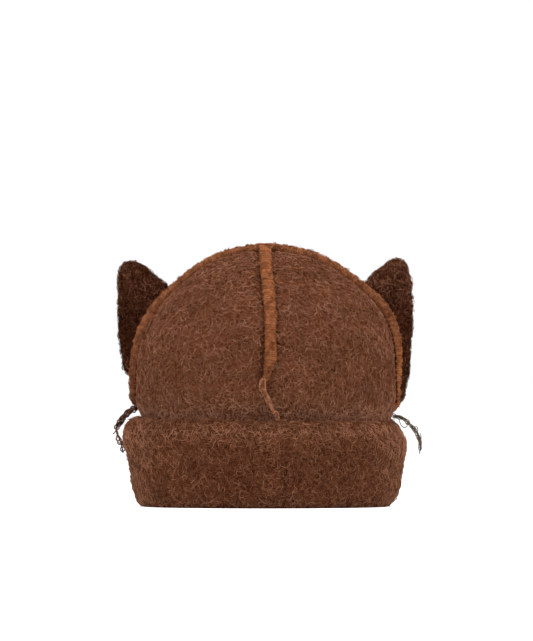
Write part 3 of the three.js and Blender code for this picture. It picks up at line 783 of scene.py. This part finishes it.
def ear_piece(name, node, seed):
    """A padded ear: the part's own shape, remeshed fine, smoothed and made woolly."""
    bm = bmesh.new()
    bm.from_mesh(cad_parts[node].data)
    bmesh.ops.remove_doubles(bm, verts=bm.verts, dist=1e-6)
    rough = from_bmesh(name + "_rough", bm)
    remesh = rough.modifiers.new("even", "REMESH")
    remesh.mode = "VOXEL"
    remesh.voxel_size = 0.95 * MM
    smooth = rough.modifiers.new("soft", "SMOOTH")
    smooth.factor = 0.5
    smooth.iterations = 6
    mesh = bpy.data.meshes.new_from_object(rough.evaluated_get(bpy.context.evaluated_depsgraph_get()))
    bpy.data.objects.remove(rough)
    bm = bmesh.new()
    bm.from_mesh(mesh)
    bm.normal_update()
    points = co_array(bm) / MM
    normals = np.array([v.normal for v in bm.verts])
    lumps = 0.6 * bumps(points, 5.5, seed) + 0.9 * np.abs(bumps(points, 2.5, seed + 1)) - 0.45
    foot = 1.4 * hollow(points[:, 2] - 56, 9) * (points[:, 0] > 60)
    points = points + foot[:, None] * (1, 0, 0)
    set_co(bm, (points + normals * lumps[:, None]) * MM)
    obj = place_piece(from_bmesh(name, bm), ear_ground, "ear_knit", node)
    return obj


left_ear = ear_piece("pointed_ear_left", "ear_left", 11)
right_ear = ear_piece("pointed_ear_right", "ear_right", 14)


# The overlocked seams

# sideways, up: shares of an allowance's width and height, from edge to edge over its top
SEAM_SECTION = np.array([
    (-0.5, 0.06), (-0.52, 0.45), (-0.4, 0.82), (-0.2, 0.96), (0.0, 1.0), (0.2, 0.96), (0.4, 0.82),
    (0.52, 0.45), (0.5, 0.06),
])


def seam_line(seam, top, foot, step):
    """Places down a seam, about a step apart."""
    fine = np.linspace(top, foot, 2000)
    length = length_along(plain_crown(np.full(len(fine), float(seam)), fine))
    return np.interp(np.linspace(0, length[-1], round(length[-1] / step) + 1), length, fine)


def seam_section(seam, place, shift, width, tall, slant=0.0, out=0.0):
    """Points across an allowance at each place; slant moves one edge further down than the other."""
    aside, up = SEAM_SECTION.T
    height = np.interp(place, _fine_places, _fine_rows[:, 0])[:, None] - slant * aside
    sideways = shift[:, None] + aside * (width[:, None] + 2 * out)
    lift = SEAM_SEAT + up * tall + out * (up > 0.1)
    height, sideways, lift = np.broadcast_arrays(height, sideways, lift)
    return beside_seam(seam, height, sideways, lift)


def strip(name, sections, material, node):
    """A closed strip skinned over sections, capped at both ends."""
    rows, count = sections.shape[:2]
    bm, share, row = sheet(count, rows)
    set_co(bm, sections[row, np.rint(share * count).astype(int) % count] * MM)
    bmesh.ops.remove_doubles(bm, verts=bm.verts, dist=1e-6)
    bmesh.ops.holes_fill(bm, edges=bm.edges[:])
    bmesh.ops.recalc_face_normals(bm, faces=bm.faces)
    return place_piece(from_bmesh(name, bm), material, "overlock_thread", node)


def wraps(name, sections, material, radius, seed, tint=None):
    """Threads that wrap over an allowance, one at each section."""
    rng = np.random.default_rng(seed)
    down = np.gradient(sections.mean(axis=1), axis=0)
    slip = rng.normal(0, 0.22, (len(sections), 1, 1)) * down[:, None]
    paths = sections + slip + rng.normal(0, 0.16, (len(sections), 1, 3)) + rng.normal(0, 0.11, sections.shape)
    radii = radius * rng.uniform(0.7, 1.3, (len(paths), 1))
    obj = swept(name, with_tips(paths, 0.05), radii, unit(down), 5, tint)
    place_piece(obj, material, "overlock_thread")


def centre_seam(name, seam, foot_height, rows, node, material, seed):
    """The allowance down the middle of the front or the back, and the thread wrapped round it."""
    top = seam_start()
    foot = float(place_at_height(foot_height))
    place = seam_line(seam, top, foot, 1.0)
    shift, width = seam_edges(rows, foot_height, place)
    wander = 0.16 * np.sin(np.arange(len(place)) * 1.7 + seed) + 0.1 * np.sin(np.arange(len(place)) * 0.61)
    base = strip(name, seam_section(seam, place, shift, width + wander, SEAM_HEIGHT - 0.3), material, node)
    place = seam_line(seam, top + 0.01, foot - 0.01, 0.8)
    shift, width = seam_edges(rows, foot_height, place)
    wraps(name + "_wraps", seam_section(seam, place, shift, width, SEAM_HEIGHT - 0.25, 0.5, 0.08),
          material, 0.34, seed)
    return base


def arch(name, node, material, seed):
    """The side seams' allowance: a fin that stands up along its stitches and sinks towards both feet."""
    taper = np.array(ARCH_TAPER)

    def sections(step, reach, less, slant, out, sway):
        parts = []
        for side, (seam, foot) in enumerate(((math.pi, ARCH_FOOT_LEFT), (0, ARCH_FOOT_RIGHT))):
            foot_place = float(place_at_height(CUFF_HEIGHT + foot))
            place = seam_line(seam, 0.0, foot_place - reach, step)[side:]
            shares = through(taper, np.interp(place / foot_place, taper[:, 0], np.arange(len(taper))))
            number = np.arange(len(place)) * step
            wide = ARCH_WIDTH * shares[:, 1] + sway * np.sin(number * 1.7 + seed)
            tall = ARCH_HEIGHT * shares[:, 2 + side] - less + 0.7 * sway * (np.sin(number * 1.13 + seed) - 1)
            # Looked at from in front, the left side runs the other way
            across = seam_section(seam, place, np.zeros(len(place)), wide, tall[:, None],
                                  slant if side else -slant, out)
            parts.append(across if side else across[::-1])
        return np.concatenate(parts)

    base = strip(name, sections(1.1, 0.0, 0.35, 0, 0, 0.3), material, node)
    across = sections(0.85, 0.02, 0.3, 0.5, 0.06, 0.3)
    middle = across.mean(axis=1)
    # The thread's own colour shows where the nap has been worn off it, low on the right
    bare = smoothstep(94, 88, middle[:, 2]) * smoothstep(57, 64, middle[:, 2]) * (middle[:, 0] > 0)
    covered = smoothstep(84, 72, middle[:, 2]) * (middle[:, 0] < 0)
    tint = np.clip(0.25 + 0.35 * bumps(middle, 9, seed) + bare - 0.6 * covered, 0, 1)
    wraps(name + "_wraps", across, material, 0.36, seed, tint)
    return base


def side_stitches_and_shade(name, seed):
    """Dark threads along the foot of the fin, in front and behind, surest low down on both sides: a stitch
    line whose darkness is partly painted shade in the fin's crease.
    """
    rng = np.random.default_rng(seed)
    paths, radii = [], []
    # Low down they are raised up the fin's face and thicker, most on the right, where the nap is worn
    for seam, foot, raised, thicker in ((math.pi, ARCH_FOOT_LEFT, 0.45, 0.38),
                                        (0, ARCH_FOOT_RIGHT, 0.9, 0.54)):
        place = seam_line(seam, 0.25, float(place_at_height(CUFF_HEIGHT + foot + 1.5)), 0.5)
        height = np.interp(place, _fine_places, _fine_rows[:, 0])
        for face in (-1, 1):
            for first in range(rng.integers(0, 4), len(place) - 5, 5):
                some = height[first:first + 4]
                away = face * (ARCH_WIDTH / 2 + 0.3 + rng.normal(0, 0.12, 4))
                low = 1 - smoothstep(82, 118, some[0])
                out = 0.9 + raised * low + rng.normal(0, 0.15, 4)
                paths.append(beside_seam(seam, some, away, out))
                radii.append((0.26 + thicker * low) * rng.uniform(0.8, 1.2))
    obj = swept(name, with_tips(np.array(paths), 0.2), np.array(radii)[:, None],
                np.array([(0.11, 0.97, 0.2)]), 6)
    place_piece(obj, stitch_and_shade_thread, "overlock_thread")


front_seam = centre_seam(
    "front_overlock", -QUARTER, FRONT_SEAM_FOOT, FRONT_SEAM, "front_seam", rust_thread, 21)
centre_seam("back_overlock", QUARTER, BACK_SEAM_FOOT, BACK_SEAM, "back_seam", rust_thread, 22)
arch_seam = arch("arch_overlock", "arch_seam", side_thread, 23)
side_stitches_and_shade("arch_stitches_and_shade", 24)


# The loose hairs

def scatter(obj, count, seed, keep=None):
    """Random points on a mesh with their normals, in millimetres, where keep allows them."""
    mesh = obj.data
    mesh.calc_loop_triangles()
    verts = np.empty(len(mesh.vertices) * 3)
    mesh.vertices.foreach_get("co", verts)
    verts = verts.reshape(-1, 3) / MM
    corners = np.empty(len(mesh.loop_triangles) * 3, np.int32)
    mesh.loop_triangles.foreach_get("vertices", corners)
    corners = corners.reshape(-1, 3)
    a, b, c = verts[corners[:, 0]], verts[corners[:, 1]], verts[corners[:, 2]]
    normal = np.cross(b - a, c - a)
    area = np.linalg.norm(normal, axis=1) / 2
    normal = unit(normal)
    if keep is not None:
        area = area * keep((a + b + c) / 3, normal)
    rng = np.random.default_rng(seed)
    pick = rng.choice(len(area), count, p=area / area.sum())
    u, v = rng.random(count), rng.random(count)
    fold = u + v > 1
    u, v = np.where(fold, 1 - u, u)[:, None], np.where(fold, 1 - v, v)[:, None]
    return a[pick] + (b - a)[pick] * u + (c - a)[pick] * v, normal[pick], rng


def hairs(name, obj, count, seed, coat, wool, keep=None, paler=None):
    """Loose curled hairs over a piece, most of them lying along it and a few standing away."""
    bends, length, width, lift, stray, tone = coat
    points, normals, rng = scatter(obj, count, seed, keep)
    along = unit(np.cross(normals, rng.normal(size=(count, 3))))
    across = np.cross(normals, along)
    reach = length * rng.uniform(0.55, 1.45, count)
    bow = rng.uniform(-0.32, 0.32, count) * reach
    wave = rng.uniform(-0.2, 0.2, count) * reach
    high = lift * rng.uniform(0.3, 1.6, count)
    free = np.where(rng.random(count) < 0.35, rng.uniform(0.3, 1.0, count), 0.0) * stray
    t = np.linspace(0, 1, bends + 2)
    sideways = bow[:, None] * np.sin(np.pi * t) + wave[:, None] * np.sin(2 * np.pi * t)
    upright = high[:, None] * np.sin(np.pi * t) - 0.12 + free[:, None] * t**2
    path = (points[:, None] + along[:, None] * (reach[:, None] * (t - 0.5))[..., None]
            + across[:, None] * sideways[..., None] + normals[:, None] * upright[..., None])
    # No hair goes under what the hat stands on
    path[..., 2] = np.maximum(path[..., 2], 0.3)
    radii = (width / 2) * rng.uniform(0.7, 1.3, (count, 1))
    tint = np.clip(rng.normal(tone, 0.17, count) + (0 if paler is None else paler(points)), 0, 1)
    place_piece(swept(name, path, radii, normals, 3, tint), *wool)


def outside_crown(points, normals):
    outward = np.sum(normals * (points - (0, 0, 60)), axis=1) > 0
    return outward & (points[:, 2] > CUFF_HEIGHT - 3)


def inside_crown(points, normals):
    return np.sum(normals * (points - (0, 0, 60)), axis=1) < 0


def outside_cuff(points, normals):
    out = normals[:, 0] * points[:, 0] + normals[:, 1] * points[:, 1]
    return ((out > -10) | (normals[:, 2] > 0.3)) & (points[:, 2] > 0.5)


def inside_cuff(points, normals):
    return (normals[:, 0] * points[:, 0] + normals[:, 1] * points[:, 1] < 0) & (points[:, 2] > 1)


def off_the_cuff_seam(points, normals):
    # Fewer hairs where the cuff's seam carries painted shade
    seam = cuff_seam_shade(points[:, 0] - CUFF_SEAM_ASIDE, points[:, 1], points[:, 2])
    return outside_cuff(points, normals) * (1 - 0.8 * np.clip(1.5 * seam, 0, 1))


def away_from_creases(points, normals):
    place = place_at_height(points[:, 2])
    return outside_crown(points, normals) & (crease_and_shade_beside_seams(points, place) < 0.3)


# Painted light: the hairs' tint is lighter just above the cuff, where the crown tucks into shade, a little
# more on the left
def painted_light_low_on_crown(points):
    above_cuff = points[:, 2] - CUFF_HEIGHT
    left = 0.1 * smoothstep(-42, -56, points[:, 0])
    return 0.4 * hollow(above_cuff - 2, 3.5) + (0.18 + left) * hollow(above_cuff - 3, 8)


def painted_light_on_cuff(points):
    """Painted light and shade: the nap is paler along the roll, where light falls from above, round both
    sides, where the side lights fall, and at the foot, and darkest in the middle.
    """
    x, _, z = points.T
    roll = (0.3 + 0.06 * smoothstep(20, 45, x)) * hollow(z - (CUFF_HEIGHT - 5), 4.5)
    sides = 0.38 * smoothstep(52, 68, np.abs(x))
    middle = 0.06 * hollow(x + 8, 38) * smoothstep(38, 30, z)
    foot = 0.24 * hollow(z, 6)
    return np.maximum(roll, sides) + foot - middle


def tint_and_shade_on_ears(points):
    """The right ear is paler towards its tip, and painted shade darkens both where they meet the crown."""
    tip = smoothstep(98, 122, points[:, 2]) * np.where(points[:, 0] > 0, 0.22, 0.06)
    return tip + 0.02 * (points[:, 0] > 0) - 0.08 * hollow(points[:, 2] - 95, 12)


# bends, length, width, lift, stray and tone of each kind of hair
UNDERCOAT = (1, 3.8, 0.27, 0.3, 0.4, 0.28)
OVERCOAT = (2, 4.7, 0.31, 0.7, 1.1, 0.66)
LINING = (1, 4.6, 0.28, 0.35, 0.5, 0.4)
EAR_UNDERCOAT = (1, 3.2, 0.26, 0.35, 0.6, 0.22)
EAR_OVERCOAT = (2, 3.6, 0.29, 0.6, 1.0, 0.55)

CROWN = (crown_hair, "crown_knit")
CUFF = (cuff_hair, "cuff_knit")
EAR = (ear_hair, "ear_knit")
THREAD = (fuzz_hair, "overlock_thread")

for number, panel in enumerate(panels):
    shown = 1.0 if number < 2 else 0.66
    hairs(panel.name + "_undercoat", panel, round(6000 * shown), 30 + number, UNDERCOAT, CROWN,
          outside_crown, painted_light_low_on_crown)
    hairs(panel.name + "_overcoat", panel, round(6600 * shown), 34 + number, OVERCOAT, CROWN,
          away_from_creases, painted_light_low_on_crown)
    hairs(panel.name + "_lining", panel, 800, 40 + number, LINING, CROWN, inside_crown)
hairs("cuff_undercoat", cuff, 8790, 50, UNDERCOAT, CUFF, outside_cuff, painted_light_on_cuff)
hairs("cuff_overcoat", cuff, 11500, 56, OVERCOAT, CUFF, off_the_cuff_seam, painted_light_on_cuff)
hairs("cuff_lining", cuff, 1400, 51, LINING, CUFF, inside_cuff)
for number, ear in enumerate((left_ear, right_ear)):
    hairs(ear.name + "_undercoat", ear, 2600, 52 + number, EAR_UNDERCOAT, EAR, None, tint_and_shade_on_ears)
    hairs(ear.name + "_overcoat", ear, 2900, 57 + number, EAR_OVERCOAT, EAR, None, tint_and_shade_on_ears)


def napped_arch(points, normals):
    bare = (points[:, 0] > 0) & (points[:, 2] < 91) & (points[:, 2] > 60)
    return ~bare & (points[:, 2] > CUFF_HEIGHT + 8)


def grown_over_arch(points, normals):
    """The nap is thickest low on the left, where it hides the thread."""
    return napped_arch(points, normals) * (0.6 + 4.4 * smoothstep(84, 72, points[:, 2]) * (points[:, 0] < 0))


def cuff_lip(points, normals):
    return outside_cuff(points, normals) & (points[:, 2] > CUFF_HEIGHT - 3.5)


def cuff_foot(points, normals):
    return outside_cuff(points, normals) & (points[:, 2] < 4)


def low_on_strip(points, normals):
    """More of the strip is grown over towards its foot."""
    return 0.25 + 1.3 * smoothstep(79, 70, points[:, 2])


NAP = (2, 3.4, 0.31, 0.75, 0.9, 0.5)
FUZZ = (1, 2.4, 0.26, 0.35, 0.6, 0.62)
LIP_NAP = (2, 4.2, 0.3, 0.8, 2.2, 0.55)

hairs("arch_nap", arch_seam, 1300, 54, NAP, CROWN, grown_over_arch)
hairs("arch_fuzz", arch_seam, 2200, 59, FUZZ, THREAD, napped_arch)
hairs("strip_nap", front_seam, 190, 55, NAP, CROWN, low_on_strip)
hairs("strip_fuzz", front_seam, 500, 60, FUZZ, THREAD)
hairs("cuff_foot_nap", cuff, 500, 64, NAP, CUFF, cuff_foot, painted_light_on_cuff)
hairs("cuff_lip_nap", cuff, 1500, 63, LIP_NAP, CUFF, cuff_lip)


# The floor, the light and the picture

def seen_by_camera(tree):
    return add_node(tree, "ShaderNodeLightPath", {}).outputs["Is Camera Ray"]


def stage_floor():
    """A white floor that takes only a faint shadow."""
    bm = bmesh.new()
    bmesh.ops.create_grid(bm, x_segments=1, y_segments=1, size=8)
    floor = from_bmesh("floor", bm)
    material, tree, shader = start_material("pale floor", 0.9, 0.05)
    shader.inputs["Base Color"].default_value = (0.9, 0.9, 0.9, 1)
    shader.inputs["Emission Color"].default_value = (1, 1, 1, 1)
    glow = maths(tree, "MULTIPLY", seen_by_camera(tree), 0.55)
    tree.links.new(glow, shader.inputs["Emission Strength"])
    floor.data.materials.append(material)


def soft_light(name, place, target, size, power):
    data = bpy.data.lights.new(name, "AREA")
    data.shape = "RECTANGLE"
    data.size, data.size_y = size
    data.energy = power
    light = new_object(name, data)
    light.location = place
    aim(light, target)


def white_room(lighting):
    """A world that looks white, and lights the hat with less than that."""
    world = bpy.data.worlds.new("white room")
    world.use_nodes = True
    tree = world.node_tree
    background = tree.nodes["Background"]
    background.inputs[0].default_value = (1, 1, 1, 1)
    level = add_node(tree, "ShaderNodeMapRange",
                     {"Value": seen_by_camera(tree), "To Min": lighting, "To Max": 1.0})
    tree.links.new(level.outputs[0], background.inputs[1])
    bpy.context.scene.world = world


stage_floor()
soft_light("top", (0, -0.2, 1.5), (0, 0, 0.05), (1.2, 1.2), 20)
soft_light("left", (-1.4, -0.7, 0.7), (0, 0, 0.06), (0.9, 1.2), 9)
soft_light("right", (1.4, -0.7, 0.7), (0, 0, 0.06), (0.9, 1.2), 10)
soft_light("front", (0.1, -2.0, 1.1), (0, 0, 0.07), (1.0, 0.8), 6)
white_room(0.58)
bpy.context.scene.view_settings.view_transform = "Standard"
bpy.context.scene.view_settings.look = "None"
